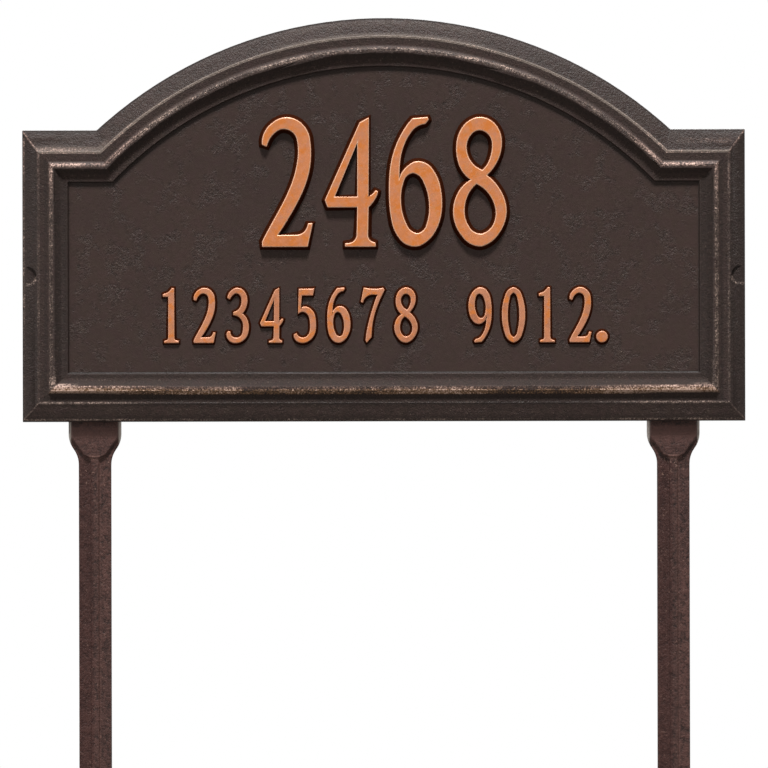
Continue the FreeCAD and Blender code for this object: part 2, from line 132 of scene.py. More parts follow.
def mark_edges(piece, test):
    """Selects the edges whose two ends both pass the test, and nothing else."""
    mesh = piece.data
    mesh.polygons.foreach_set("select", [False] * len(mesh.polygons))
    passed = [test(vertex.co) for vertex in mesh.vertices]
    mesh.edges.foreach_set("select", [all(passed[i] for i in edge.vertices) for edge in mesh.edges])
    ends = {i for edge in mesh.edges if edge.select for i in edge.vertices}
    mesh.vertices.foreach_set("select", [i in ends for i in range(len(mesh.vertices))])


def casting_copy(node, name):
    """A copy of a solid from the frame with its loose triangles joined up."""
    piece = bpy.data.objects.new(name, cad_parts[node].data.copy())
    bpy.context.scene.collection.objects.link(piece)
    piece.data.materials.clear()
    edit(piece)
    bpy.ops.mesh.select_all(action="SELECT")
    bpy.ops.mesh.remove_doubles(threshold=LOOSE_SEAM)
    done()
    return piece


def apply_modifier(piece, kind, **settings):
    select_only(piece)
    modifier = piece.modifiers.new(kind.lower(), kind)
    for key, value in settings.items():
        setattr(modifier, key, value)
    bpy.ops.object.modifier_apply(modifier=modifier.name)


def round_edges(piece, test, width, segments):
    """Rounds the chosen edges alone."""
    mark_edges(piece, test)
    edit(piece, "EDGE")
    bpy.ops.mesh.bevel(offset=width, segments=segments, affect="EDGES", clamp_overlap=False)
    done()


def round_hard_edges(piece, width, segments, hard_edge):
    """Rounds every edge that turns by more than the angle hard_edge."""
    apply_modifier(
        piece, "BEVEL", width=width, segments=segments, limit_method="ANGLE",
        angle_limit=hard_edge, use_clamp_overlap=False,
    )


def shade(piece, smooth_below):
    """Shades the roundings smooth and the flats flat."""
    select_only(piece)
    bpy.ops.object.shade_smooth_by_angle(angle=smooth_below)
    apply_modifier(piece, "WEIGHTED_NORMAL", keep_sharp=True)


def press_flat(piece, level):
    """Brings back what stands in front of a level."""
    mesh = piece.data
    for part in (mesh.edges, mesh.polygons):
        part.foreach_set("select", [False] * len(part))
    mesh.vertices.foreach_set("select", [vertex.co.y < -level - HAIR for vertex in mesh.vertices])
    edit(piece, "VERT")
    bpy.ops.transform.resize(value=(1, 0, 1), center_override=(0, -level, 0))
    done()


def soften(piece, width, segments=2):
    """Rounds every hard edge, as sand casting and paint do."""
    edit(piece)
    bpy.ops.mesh.select_all(action="SELECT")
    bpy.ops.mesh.remove_doubles(threshold=SHORT_EDGE)
    bpy.ops.mesh.dissolve_limited(angle_limit=NEARLY_FLAT)
    done()
    round_hard_edges(piece, width, segments, HARD_EDGE)
    shade(piece, SMOOTH_BELOW)


# Shader helpers
def socket(tree, value, target):
    if isinstance(value, bpy.types.NodeSocket):
        tree.links.new(value, target)
    else:
        target.default_value = value


def shader_node(tree, kind, inputs=(), **settings):
    node = tree.nodes.new(kind)
    for key, value in settings.items():
        setattr(node, key, value)
    pairs = inputs.items() if isinstance(inputs, dict) else enumerate(inputs)
    for key, value in pairs:
        socket(tree, value, node.inputs[key])
    return node


def calc(tree, operation, *values):
    return shader_node(tree, "ShaderNodeMath", values, operation=operation).outputs[0]


def chain(tree, operation, first, *others):
    for other in others:
        first = calc(tree, operation, first, other)
    return first


def times(tree, *values):
    return chain(tree, "MULTIPLY", *values)


def plus(tree, *values):
    return chain(tree, "ADD", *values)


def less(tree, value, taken_off):
    return calc(tree, "SUBTRACT", value, taken_off)


def over(tree, value, divisor):
    return calc(tree, "DIVIDE", value, divisor)


def most(tree, *values):
    return chain(tree, "MAXIMUM", *values)


def least(tree, *values):
    return chain(tree, "MINIMUM", *values)


def size_of(tree, value):
    return calc(tree, "ABSOLUTE", value)


def from_centre(tree, across, up):
    """Distance from a centre, by the distances across and up."""
    return calc(tree, "SQRT", plus(tree, times(tree, across, across), times(tree, up, up)))


def fade(tree, value, start, end):
    """A mask that goes smoothly from 0 at start to 1 at end."""
    node = shader_node(
        tree, "ShaderNodeMapRange", {"Value": value, "From Min": start, "From Max": end},
        interpolation_type="SMOOTHSTEP",
    )
    return node.outputs["Result"]


def band(tree, value, reach):
    """A mask along a reach of start, full, last and end: 1 from full to last, 0 outside."""
    start, full, last, end = reach
    return times(tree, fade(tree, value, start, full), fade(tree, value, end, last))


def blend(tree, share, first, second):
    """The first colour where share is 0 and the second where it is 1."""
    node = shader_node(tree, "ShaderNodeMix", data_type="RGBA")
    socket(tree, share, node.inputs[0])
    socket(tree, first, node.inputs[6])
    socket(tree, second, node.inputs[7])
    return node.outputs[2]


def coat(tree, under, colour, *shares):
    """Lays a colour over the one under it, as thick as the product of the shares."""
    return blend(tree, times(tree, *shares), under, colour)


def blend_value(tree, share, first, second):
    """The first value where share is 0 and the second where it is 1."""
    return calc(tree, "MULTIPLY_ADD", share, less(tree, second, first), first)


def noise(tree, place, scale, detail=2.0, roughness=0.5, stretch=None):
    if stretch:
        mapping = shader_node(tree, "ShaderNodeMapping", {"Vector": place, "Scale": stretch})
        place = mapping.outputs[0]
    inputs = {"Vector": place, "Scale": scale, "Detail": detail, "Roughness": roughness}
    return shader_node(tree, "ShaderNodeTexNoise", inputs).outputs["Fac"]


def axes(tree, place):
    return shader_node(tree, "ShaderNodeSeparateXYZ", [place]).outputs


def rgb(red, green, blue):
    """A colour as seen on screen, 0 to 255, turned into the shader's linear values."""
    linear = []
    for value in (red, green, blue):
        value /= 255
        linear.append(value / 12.92 if value <= 0.04045 else ((value + 0.055) / 1.055) ** 2.4)
    return (*linear, 1.0)


def new_group(name, inputs, outputs):
    tree = bpy.data.node_groups.new(name, "ShaderNodeTree")
    for label, kind in inputs:
        tree.interface.new_socket(label, in_out="INPUT", socket_type=kind)
    for label, kind in outputs:
        tree.interface.new_socket(label, in_out="OUTPUT", socket_type=kind)
    return tree, tree.nodes.new("NodeGroupInput").outputs, tree.nodes.new("NodeGroupOutput").inputs


def use_group(tree, group, inputs):
    node = tree.nodes.new("ShaderNodeGroup")
    node.node_tree = group
    for key, value in inputs.items():
        socket(tree, value, node.inputs[key])
    return node.outputs


FLOAT, VECTOR = "NodeSocketFloat", "NodeSocketVector"


# Where a point lies on the border: distances in millimetres, and masks for its parts
BORDER_MEASURES = "Inset", "Mitre", "Height", "Corner", "Side", "Foot", "Rim", "Spot"


def make_border_group():
    tree, given, out = new_group(
        "border_place",
        [("Place", VECTOR)],
        [(label, FLOAT) for label in BORDER_MEASURES],
    )
    place = axes(tree, given["Place"])
    x = size_of(tree, over(tree, place["X"], MM))
    z = over(tree, less(tree, place["Z"], PLATE_BOTTOM), MM)
    up = less(tree, z, (ARCH_CENTRE - PLATE_BOTTOM) / MM)
    socket(tree, over(tree, place["Y"], -MM), out["Height"])

    # distance in from the outer wall, and from the sharp edge
    widths = [width / MM for width in (BEVEL_SIDE, BEVEL_BOTTOM, BEVEL_SHOULDER, BEVEL_ARCH)]
    from_side = less(tree, HALF_WIDTH / MM, x)
    from_shoulder = less(tree, (SHOULDER - PLATE_BOTTOM) / MM, z)
    from_arch = less(tree, ARCH_RADIUS / MM, from_centre(tree, x, up))
    walls = [from_side, z, from_shoulder, from_arch]
    insets = [less(tree, wall, width) for wall, width in zip(walls, widths)]
    top = most(tree, insets[2], insets[3])
    socket(tree, least(tree, insets[0], insets[1], top), out["Inset"])
    socket(tree, least(tree, from_side, z, most(tree, from_shoulder, from_arch)), out["Rim"])

    # the standing mitres of the bevel, where two sides are equally far through their bevels
    shares = [over(tree, wall, width) for wall, width in zip(walls, widths)]
    nearest = 10.0
    for first, second in ((0, 1), (0, 2)):
        apart = size_of(tree, less(tree, shares[first], shares[second]))
        further = most(tree, shares[first], shares[second])
        beyond = times(tree, less(tree, further, 1.0), 4.0)
        nearest = least(tree, nearest, most(tree, apart, beyond))
    socket(tree, fade(tree, nearest, 0.09, 0.0), out["Mitre"])

    # which side of the plate this is: an upright side, or the bottom
    above = less(tree, least(tree, insets[1], top), insets[0])
    socket(tree, fade(tree, above, -0.3, 0.3), out["Side"])
    beside = less(tree, least(tree, insets[0], top), insets[1])
    socket(tree, fade(tree, beside, -0.3, 0.3), out["Foot"])

    # the lower half of the nearer spot face's circle
    across = less(tree, from_side, SPOT_INSET / MM)
    upward = less(tree, z, (SPOT_CENTRE - PLATE_BOTTOM) / MM)
    off_circle = less(tree, from_centre(tree, across, upward), SPOT_RADIUS / MM)
    ring = fade(tree, size_of(tree, off_circle), 1.3, 0.4)
    socket(tree, times(tree, ring, fade(tree, upward, 1.0, -2.5)), out["Spot"])

    # the two upper corners, shoulders and all
    corner = times(tree, fade(tree, x, 138.0, 160.0), fade(tree, z, 118.0, 160.0))
    socket(tree, corner, out["Corner"])
    return tree


# Grain of a sand casting under paint: fine pebbles, sparse light specks and soft clouds
def make_grain_group():
    tree, given, out = new_group(
        "cast_grain",
        [("Place", VECTOR), ("Size", FLOAT)],
        [("Pebbles", FLOAT), ("Specks", FLOAT), ("Clouds", FLOAT)],
    )
    place = given["Place"]
    scale = over(tree, 1000.0, given["Size"])
    fine = noise(tree, place, scale, 3.0, 0.6)
    coarse = noise(tree, place, times(tree, scale, 0.35), 2.0, 0.5)
    pebbles = plus(tree, times(tree, fine, 0.6), times(tree, coarse, 0.4))
    socket(tree, pebbles, out["Pebbles"])
    specks = noise(tree, place, times(tree, scale, 0.8), 2.0, 0.7)
    socket(tree, fade(tree, specks, 0.60, 0.74), out["Specks"])
    clouds = noise(tree, place, times(tree, scale, 0.03), 3.0, 0.55)
    socket(tree, fade(tree, clouds, 0.3, 0.7), out["Clouds"])
    return tree


border_group = make_border_group()
grain_group = make_grain_group()


def new_material(name):
    material = bpy.data.materials.new(name)
    material.use_nodes = True
    tree = material.node_tree
    shader = tree.nodes["Principled BSDF"]
    place = tree.nodes.new("ShaderNodeTexCoord").outputs["Object"]
    return material, tree, shader, place


def cast_grain(tree, place, size):
    return use_group(tree, grain_group, {"Place": place, "Size": size})


def bump(tree, shader, height, distance, strength):
    node = shader_node(
        tree, "ShaderNodeBump", {"Strength": strength, "Distance": distance, "Height": height}
    )
    socket(tree, node.outputs["Normal"], shader.inputs["Normal"])


def grainy_roughness(tree, grain, change, lowest):
    """Roughness that follows the pebbles of the casting."""
    return plus(tree, times(tree, grain["Pebbles"], change), lowest)


class Zones:
    """Where a point of the plate lies: distances, and masks for the plate's sides and ends."""

    def __init__(self, tree, place):
        border = use_group(tree, border_group, {"Place": place})
        self.tree = tree
        self.inset, self.rim, self.height = border["Inset"], border["Rim"], border["Height"]
        self.side, self.foot, self.corner = border["Side"], border["Foot"], border["Corner"]
        self.mitre, self.spot = border["Mitre"], border["Spot"]
        x, _, z = axes(tree, place)
        self.across = size_of(tree, x)
        self.top = less(tree, 1.0, most(tree, self.side, self.foot))
        self.low_down = fade(tree, less(tree, z, PLATE_BOTTOM), 40 * MM, 28 * MM)
        self.right = fade(tree, x, 10 * MM, 90 * MM)
        self.left = less(tree, 1.0, self.right)
        self.ends = fade(tree, self.across, 115 * MM, 170 * MM)
        self.shoulder = times(tree, fade(tree, self.across, 162 * MM, 171 * MM), self.top)
        self.crown = times(tree, fade(tree, self.across, 75 * MM, 45 * MM), self.top)
        # the wash, painted shade, rubbing and painted highlights stay off the plain back
        self.faced = fade(tree, self.height, 3.7, 4.2)

    def band(self, reach):
        """A band along the border, by millimetres inside the sharp edge."""
        return band(self.tree, self.inset, reach)


# The bronze's colours
BRONZE = rgb(54, 38, 35)
BRONZE_CLOUD = rgb(58, 41, 37)
BRONZE_BLOTCH = rgb(54, 43, 33)
BRONZE_PIT = rgb(38, 26, 21)
BRONZE_SPECK = rgb(112, 96, 86)
WASH_AND_SHADE_BLACK = rgb(15, 8, 5)
EDGE_COPPER = rgb(138, 120, 110)
LOW_RIDGE_BELOW = rgb(150, 112, 78)
LOW_RIDGE_ABOVE = rgb(148, 118, 104)
CORNER_COPPER = rgb(160, 133, 123)
BRIGHT_COPPER = rgb(224, 192, 176)
HIGHLIGHT_PAINT = rgb(132, 119, 110)

# Its patterns: scale, detail and roughness
ROUGH_PATCHES = 95.0, 2.0, 0.6
BLOTCHES = 160.0, 3.0, 0.6
WEAR_BROAD = 30.0, 2.0, 0.5
WEAR_STREAKS = 240.0, 2.0, 0.6
WEAR_FINE = 1050.0, 2.0, 0.6

# Its bands along the border, in millimetres inside the sharp edge: start, full, last and end.
# First those of the wash and painted shade, from the sharp edge inwards
BELOW_LOW_EDGE = -1.4, -0.4, 0.6, 1.4
FILLET = 0.4, 0.9, 3.0, 3.8
LOW_FILLET = 0.9, 1.8, 3.4, 4.4
MARGIN = 2.8, 4.0, 5.2, 6.2
SIDE_SLOPE = 9.2, 10.4, 17.2, 18.0
UPPER_SLOPE = 9.4, 11.0, 12.6, 15.0
LOWER_SLOPE = 12.0, 14.0, 17.0, 17.8
LOW_LIP = 14.4, 15.4, 17.0, 18.0
STEP = 17.3, 17.8, 18.3, 18.9
UNDER_LIP_SHADOW = 17.5, 18.1, 19.6, 22.6
# then those that are rubbed through, partly as painted highlights
RIGHT_SHOULDER_RUB = -8.6, -7.0, -5.8, -4.4
LEFT_SHOULDER_RUB = -3.6, -2.2, -0.8, -0.2
SHARP_EDGE = -1.1, 0.0, 0.6, 1.2
LOW_UNDERSIDE_HIGHLIGHT = 4.7, 5.6, 7.6, 8.8
LOW_RIDGE_MIDDLE = 4.7, 5.9, 8.8, 10.4
LOW_RIDGE_ENDS = 5.4, 7.6, 9.6, 10.9
TOP_RIDGE = 6.0, 7.2, 8.2, 9.6
SIDE_RIDGE = 6.2, 7.2, 8.4, 9.4
SIDE_RIDGE_LOW_DOWN = 6.8, 7.8, 9.8, 11.4
LOW_CORNER_BURST = 8.2, 9.4, 11.0, 12.2
# those that are painted highlights
SHOULDER_HIGHLIGHT = -5.0, -0.8, 0.1, 0.8
CROWN_HIGHLIGHT = -3.0, -0.8, 0.1, 0.8
EDGE_HIGHLIGHT = -0.9, -0.3, 0.5, 1.0
# and those that are dull
DULL_FILLET = 0.8, 1.4, 5.4, 6.4
DULL_SLOPE = 9.2, 10.6, 16.8, 17.6

# By millimetres in from the outer wall, and by metres from the plate's middle
RIM_HIGHLIGHT = 1.6, 2.4, 4.0, 6.0
SHOULDER_SPREAD = 172 * MM, 186 * MM, 202 * MM, 210 * MM


# Dark bronze paint with its clouds and blotches, its pits and its light specks
def bronze_paint(tree, place, grain, roughened):
    blotches = fade(tree, noise(tree, place, *BLOTCHES), 0.38, 0.62)
    pits = fade(tree, grain["Pebbles"], 0.6, 0.3)
    paint = blend(tree, grain["Clouds"], BRONZE, BRONZE_CLOUD)
    paint = coat(tree, paint, BRONZE_BLOTCH, blotches, 0.35)
    paint = coat(tree, paint, BRONZE_PIT, pits, least(tree, roughened, 1.0))
    return coat(tree, paint, BRONZE_SPECK, grain["Specks"], roughened, 0.45)


# The dark wash in the grooves and on the slopes under the ridge, partly real and partly painted
# shade, and painted shade on the upright bevels (the right one most), the top bevel, the top rim,
# the step and along the bottom, with a painted shadow on the panel under the lip along the top
def wash_and_painted_shade(tree, zone):
    bevel = fade(tree, zone.inset, 0.0, -0.6)
    upright = plus(tree, times(tree, zone.right, 0.07), 0.4)
    arch = plus(tree, times(tree, zone.right, 0.11), 0.09)
    off_crown = less(tree, 1.0, zone.crown)
    off_ends = less(tree, 1.0, zone.ends)
    fillet = less(tree, 0.3, times(tree, zone.top, 0.24))
    step = plus(tree, times(tree, zone.foot, 0.3), 0.5)
    return most(
        tree,
        # painted shade on the upright bevels, more on the right, and on the top bevel off the crown
        times(tree, zone.side, bevel, upright),
        times(tree, zone.top, bevel, off_crown, arch),
        # painted shade on the top rim and its corners
        times(tree, fade(tree, zone.rim, 2.0, 0.8), zone.top, 0.75),
        times(tree, fade(tree, zone.rim, 3.6, 2.0), zone.top, zone.corner, 0.4),
        times(tree, zone.band(FILLET), 0.12),
        times(tree, zone.band(MARGIN), fillet),
        times(tree, zone.band(UPPER_SLOPE), 0.34),
        times(tree, zone.band(LOWER_SLOPE), 0.16),
        times(tree, zone.band(SIDE_SLOPE), zone.side, 0.42),
        # painted shade along the bottom: on the lip, the fillet and below the sharp edge
        times(tree, zone.band(LOW_LIP), zone.foot, 0.3),
        times(tree, zone.band(LOW_FILLET), zone.foot, 0.4),
        times(tree, zone.band(BELOW_LOW_EDGE), zone.foot, off_ends, 0.45),
        # painted shade on the step, and a painted shadow on the panel under the lip along the top
        times(tree, zone.band(STEP), step),
        times(tree, zone.band(UNDER_LIP_SHADOW), zone.top, 0.42),
    )


# Where the copper is rubbed through, partly real wear and partly painted highlight: ridge, sharp
# edge, mitres, spot faces, shoulders and rims; the lower half of the spot ring and the left and
# bottom rims are painted highlights
def rubbed_and_highlit_places(tree, zone):
    low_ridge = blend_value(tree, zone.ends, zone.band(LOW_RIDGE_MIDDLE), zone.band(LOW_RIDGE_ENDS))
    ridge = blend_value(tree, zone.side, zone.band(TOP_RIDGE), zone.band(SIDE_RIDGE))
    ridge = blend_value(tree, zone.foot, ridge, low_ridge)
    low_side = times(tree, zone.band(SIDE_RIDGE_LOW_DOWN), zone.low_down, zone.side, 0.8)
    edge = times(tree, zone.band(SHARP_EDGE), less(tree, 0.8, times(tree, zone.side, 0.5)))
    # the sharp edge's painted highlight is weaker along the bottom, which faces down
    dimmed_at_foot = times(tree, zone.foot, less(tree, 0.9, times(tree, zone.ends, 0.4)))
    edge = times(tree, edge, less(tree, 1.0, dimmed_at_foot))
    # painted highlight on the lower, upward-facing half of the spot face's ring
    spot = times(tree, zone.spot, fade(tree, zone.inset, -0.5, -1.5))
    left_shoulder, right_shoulder = zone.band(LEFT_SHOULDER_RUB), zone.band(RIGHT_SHOULDER_RUB)
    shoulders = blend_value(tree, zone.right, left_shoulder, right_shoulder)
    spread = band(tree, zone.across, SHOULDER_SPREAD)
    strength = plus(tree, times(tree, zone.left, 0.5), times(tree, zone.right, spread, 0.27))
    shoulders = times(tree, shoulders, zone.shoulder, strength)
    # painted highlight on the left and bottom rims
    rim_highlight_share = most(tree, times(tree, zone.side, zone.left), times(tree, zone.foot, 0.9))
    rim_highlights = times(tree, fade(tree, zone.rim, 2.4, 1.2), rim_highlight_share, 0.6)
    mitre = times(tree, zone.mitre, less(tree, 0.85, times(tree, zone.foot, 0.45)))
    return most(tree, ridge, low_side, edge, mitre, spot, shoulders, rim_highlights)


# How far the paint is worn, in specks and streaks, most of all at the corners, raised on the low
# ridge's underside as a painted highlight
def wear(tree, place, zone, fine):
    broad = noise(tree, place, *WEAR_BROAD)
    streaks = noise(tree, place, *WEAR_STREAKS, stretch=(0.5, 1.0, 1.0))
    favoured = most(
        tree,
        times(tree, zone.corner, 0.13),
        times(tree, zone.ends, zone.foot, 0.17),
        times(tree, zone.foot, -0.1),
    )
    underside_highlight = times(tree, zone.band(LOW_UNDERSIDE_HIGHLIGHT), zone.foot, 0.12)
    return plus(
        tree,
        times(tree, broad, 0.6), times(tree, fine, 1.5), times(tree, streaks, 0.6),
        times(tree, zone.side, 0.03), plus(tree, favoured, underside_highlight),
    )


# Copper and painted highlight as they show on each part of the border
def copper_and_highlight(tree, zone):
    low_turn = less(tree, zone.inset, times(tree, zone.ends, 0.8))
    low_copper = blend(tree, fade(tree, low_turn, 7.6, 8.6), LOW_RIDGE_BELOW, LOW_RIDGE_ABOVE)
    copper = coat(tree, EDGE_COPPER, low_copper, zone.foot, fade(tree, zone.inset, 2.0, 4.0))
    return coat(tree, copper, CORNER_COPPER, zone.corner)


# Painted highlights: along the top on the sharp edge, on the left shoulder's bevel towards it, and
# on the crown's bevel and rim
def painted_highlights(tree, zone):
    return most(
        tree,
        times(tree, zone.band(EDGE_HIGHLIGHT), zone.top, 0.85),
        times(tree, zone.band(SHOULDER_HIGHLIGHT), zone.shoulder, zone.left, 0.42),
        times(tree, zone.band(CROWN_HIGHLIGHT), zone.crown, 0.3),
        times(tree, band(tree, zone.rim, RIM_HIGHLIGHT), zone.crown, 0.07),
    )


# Dark bronze, with copper rubbed through on the ridge, the sharp edge and the mitres, with painted
# shade, painted highlights and a painted shadow laid into its colour
def rubbed_bronze():
    material, tree, shader, place = new_material("rubbed_bronze")
    grain = cast_grain(tree, place, 1.0)
    zone = Zones(tree, place)

    # the grain is rough in patches and smooth between them, on the panel most of all
    patches = fade(tree, noise(tree, place, *ROUGH_PATCHES), 0.44, 0.66)
    on_panel = plus(tree, times(tree, patches, 1.05), 0.25)
    on_frame = plus(tree, times(tree, patches, 0.5), 1.0)
    roughened = blend_value(tree, fade(tree, zone.inset, 18.0, 16.0), on_panel, on_frame)
    colour = bronze_paint(tree, place, grain, roughened)
    # a dark wash in the grooves, with painted shade and a painted shadow
    colour = coat(tree, colour, WASH_AND_SHADE_BLACK, wash_and_painted_shade(tree, zone), zone.faced)

    # the paint is rubbed through in broken specks, partly as painted highlights
    fine = noise(tree, place, *WEAR_FINE)
    worn = wear(tree, place, zone, fine)
    in_front = calc(tree, "GREATER_THAN", zone.height, 4.9)
    rub_and_highlight = times(tree, rubbed_and_highlit_places(tree, zone), fade(tree, worn, 1.2, 1.66), in_front)
    colour = coat(tree, colour, copper_and_highlight(tree, zone), rub_and_highlight, 0.8)
    # painted highlights along the top
    colour = coat(tree, colour, HIGHLIGHT_PAINT, painted_highlights(tree, zone), zone.faced)

    # here and there a speck is rubbed bright, and a burst of them in the low corners
    bright = times(tree, fade(tree, worn, 1.56, 1.76), rub_and_highlight)
    far_out = fade(tree, zone.across, 180 * MM, 191 * MM)
    low_corner = times(tree, far_out, zone.band(LOW_CORNER_BURST))
    burst_share = plus(tree, times(tree, zone.left, 0.55), 0.25)
    burst = times(tree, low_corner, zone.foot, fade(tree, fine, 0.4, 0.58), burst_share, zone.faced)
    colour = coat(tree, colour, BRIGHT_COPPER, most(tree, bright, burst), 0.75)
    socket(tree, colour, shader.inputs["Base Color"])
    socket(tree, times(tree, rub_and_highlight, 0.2), shader.inputs["Metallic"])

    # the wash leaves the grooves and the rim duller
    grooves = most(tree, zone.band(DULL_SLOPE), zone.band(DULL_FILLET))
    dull = times(tree, most(tree, grooves, fade(tree, zone.rim, 1.8, 0.9)), zone.faced)
    roughness = plus(tree, grainy_roughness(tree, grain, 0.2, 0.42), times(tree, dull, 0.28))
    socket(tree, roughness, shader.inputs["Roughness"])
    shader.inputs["Specular IOR Level"].default_value = 0.38
    relief = times(tree, less(tree, grain["Pebbles"], 0.5), roughened)
    bump(tree, shader, relief, 0.75 * MM, 0.9)
    return material


# The numbers' colours and patterns
LARGE_FACES = rgb(204, 124, 74), rgb(210, 132, 84)
SMALL_FACES = rgb(176, 110, 76), rgb(200, 136, 103)
COPPER_MOTTLE = rgb(222, 142, 98)
COPPER_TARNISH = rgb(196, 134, 76)
COPPER_WARM = rgb(214, 122, 48)
COPPER_COOL = rgb(200, 134, 102)
COPPER_SPECK = rgb(228, 168, 130)
COPPER_HIGHLIGHT = rgb(238, 200, 170)
WALL_ABOVE = rgb(120, 52, 22)
WALL_SHADED_BELOW = rgb(66, 30, 14)
MOTTLE = 330.0, 3.0, 0.6
TARNISH = 210.0, 2.0, 0.6
TONE = 170.0, 3.0, 0.65

# Down the numbers' walls, in millimetres below their faces
BROW_HIGHLIGHT = 0.01, 0.06, 0.2, 0.45


# Copper paint on the faces of the numbers; the walls below it are dark, partly as painted shade,
# and darkest towards the panel
def number_copper(name, level, faces, highlight):
    material, tree, shader, place = new_material(name)
    grain = cast_grain(tree, place, 0.9)
    height = use_group(tree, border_group, {"Place": place})["Height"]
    depth = less(tree, level / MM, height)

    face = blend(tree, grain["Clouds"], *faces)
    mottle = fade(tree, noise(tree, place, *MOTTLE), 0.4, 0.65)
    face = coat(tree, face, COPPER_MOTTLE, mottle, 0.5)
    tarnish = fade(tree, noise(tree, place, *TARNISH), 0.52, 0.7)
    face = coat(tree, face, COPPER_TARNISH, tarnish, 0.4)
    # the copper turns from a warmer to a paler tone and back along the strokes
    tone = noise(tree, place, *TONE)
    face = coat(tree, face, COPPER_WARM, fade(tree, tone, 0.5, 0.64), 0.8)
    face = coat(tree, face, COPPER_COOL, fade(tree, tone, 0.48, 0.34), 0.7)
    face = coat(tree, face, COPPER_SPECK, grain["Specks"], 0.35)
    # a painted highlight lies on the rounded edge, and the copper stops just below it
    face = coat(tree, face, COPPER_HIGHLIGHT, band(tree, depth, BROW_HIGHLIGHT), highlight)
    far_down = 0.4 * (level - PANEL_LEVEL) / MM
    # down the walls the colour darkens towards the panel, a painted shade
    wall = blend(tree, fade(tree, depth, 0.25, far_down), WALL_ABOVE, WALL_SHADED_BELOW)
    covered = fade(tree, depth, 0.38, 0.18)
    socket(tree, blend(tree, covered, wall, face), shader.inputs["Base Color"])
    # bare of copper paint the walls are dark metal
    socket(tree, blend_value(tree, covered, 1.0, 0.15), shader.inputs["Metallic"])
    roughness = blend_value(tree, covered, 0.9, grainy_roughness(tree, grain, 0.2, 0.34))
    socket(tree, roughness, shader.inputs["Roughness"])
    shader.inputs["Specular IOR Level"].default_value = 0.45
    bump(tree, shader, grain["Pebbles"], 0.25 * MM, 0.5)
    return material


# The stakes' colours
BROWN_DARK = rgb(72, 47, 42)
BROWN_LIGHT = rgb(86, 57, 51)
BROWN_PIT = rgb(27, 14, 11)
BROWN_SHADE = rgb(46, 10, 4)
BROWN_FLANK_LIGHT = rgb(124, 90, 82)
BROWN_SHADOW_FILL = rgb(124, 88, 82)
BROWN_RAMP_LIGHT = rgb(150, 114, 106)
PAD_FOOT_LIGHT = rgb(150, 112, 102)
BROWN_SPECK = rgb(136, 106, 94)
HEAD_EDGE_HIGHLIGHT = rgb(226, 216, 208)
RUNS = 90.0, 3.0, 0.6

# In millimetres across from a stake's middle, and down from the plate's lower edge
RIB_FLANK_LIGHT = 1.4, 2.2, 3.2, 4.2
HEAD = -4.0, 0.0, 10.0, 18.0
UNDER_PLATE_SHADOW = 1.5, 4.0, 8.0, 15.0
BELOW_SHADOW_LIGHT = 4.5, 8.5, 8.8, 10.0
PAD_FOOT = 19.6, 20.6, 22.0, 23.6
SPECKLED = 18.0, 23.0, 30.0, 48.0


# Matt red-brown paint of the stakes, with painted shade left of the rib, painted light on the rib's
# right flank, the pad's foot and where the plate's shadow falls, and painted highlights on the
# head's edges
def stake_paint():
    material, tree, shader, place = new_material("stake_paint")
    grain = cast_grain(tree, place, 1.2)
    x, y, z = axes(tree, place)
    on_right = calc(tree, "GREATER_THAN", x, 0.0)
    centre = blend_value(tree, on_right, -STAKE_CENTRE, STAKE_CENTRE)
    across = over(tree, less(tree, x, centre), MM)
    apart = size_of(tree, across)
    down = over(tree, less(tree, PLATE_BOTTOM, z), MM)
    front = fade(tree, y, 3.4 * MM, 1.8 * MM)
    below_pad = times(tree, fade(tree, down, 20.0, 26.0), front)

    runs = noise(tree, place, *RUNS, stretch=(1.0, 1.0, 0.08))
    paint = blend(tree, fade(tree, runs, 0.3, 0.7), BROWN_DARK, BROWN_LIGHT)
    paint = blend(tree, fade(tree, grain["Pebbles"], 0.3, 0.62), BROWN_PIT, paint)
    # painted shade left of the rib, below the pad
    paint = coat(tree, paint, BROWN_SHADE, fade(tree, across, 0.2, -2.0), below_pad, 0.5)
    # painted light on the rib's right flank and on the round foot of the pad
    paint = coat(tree, paint, BROWN_FLANK_LIGHT, band(tree, across, RIB_FLANK_LIGHT), below_pad, 0.15)
    pad_foot_light_mask = times(tree, band(tree, down, PAD_FOOT), fade(tree, apart, 5.0, 2.0))
    paint = coat(tree, paint, PAD_FOOT_LIGHT, pad_foot_light_mask, front, 0.35)
    # painted light where the plate's shadow falls on the head, and a little more along a line below
    # that
    paint = coat(tree, paint, BROWN_SHADOW_FILL, band(tree, down, UNDER_PLATE_SHADOW), front, 0.35)
    paint = coat(tree, paint, BROWN_RAMP_LIGHT, band(tree, down, BELOW_SHADOW_LIGHT), front, 0.16)
    # light specks gather round the foot of the pad
    gather = band(tree, down, SPECKLED)
    speck_share = calc(tree, "MULTIPLY_ADD", gather, 0.45, 0.4)
    paint = coat(tree, paint, BROWN_SPECK, grain["Specks"], speck_share)
    # painted highlight on the head's outer edges
    head_edge_highlight_mask = times(tree, fade(tree, apart, 13.8, 15.0), band(tree, down, HEAD))
    paint = coat(tree, paint, HEAD_EDGE_HIGHLIGHT, head_edge_highlight_mask, front)
    socket(tree, paint, shader.inputs["Base Color"])
    socket(tree, grainy_roughness(tree, grain, 0.2, 0.45), shader.inputs["Roughness"])
    shader.inputs["Specular IOR Level"].default_value = 0.4
    bump(tree, shader, grain["Pebbles"], 0.7 * MM, 1.0)
    return material


# Plain zinc-plated steel of the screws
ZINC_DARK = rgb(150, 150, 146)
ZINC_LIGHT = rgb(176, 175, 168)
ZINC_SPECK = rgb(120, 116, 108)


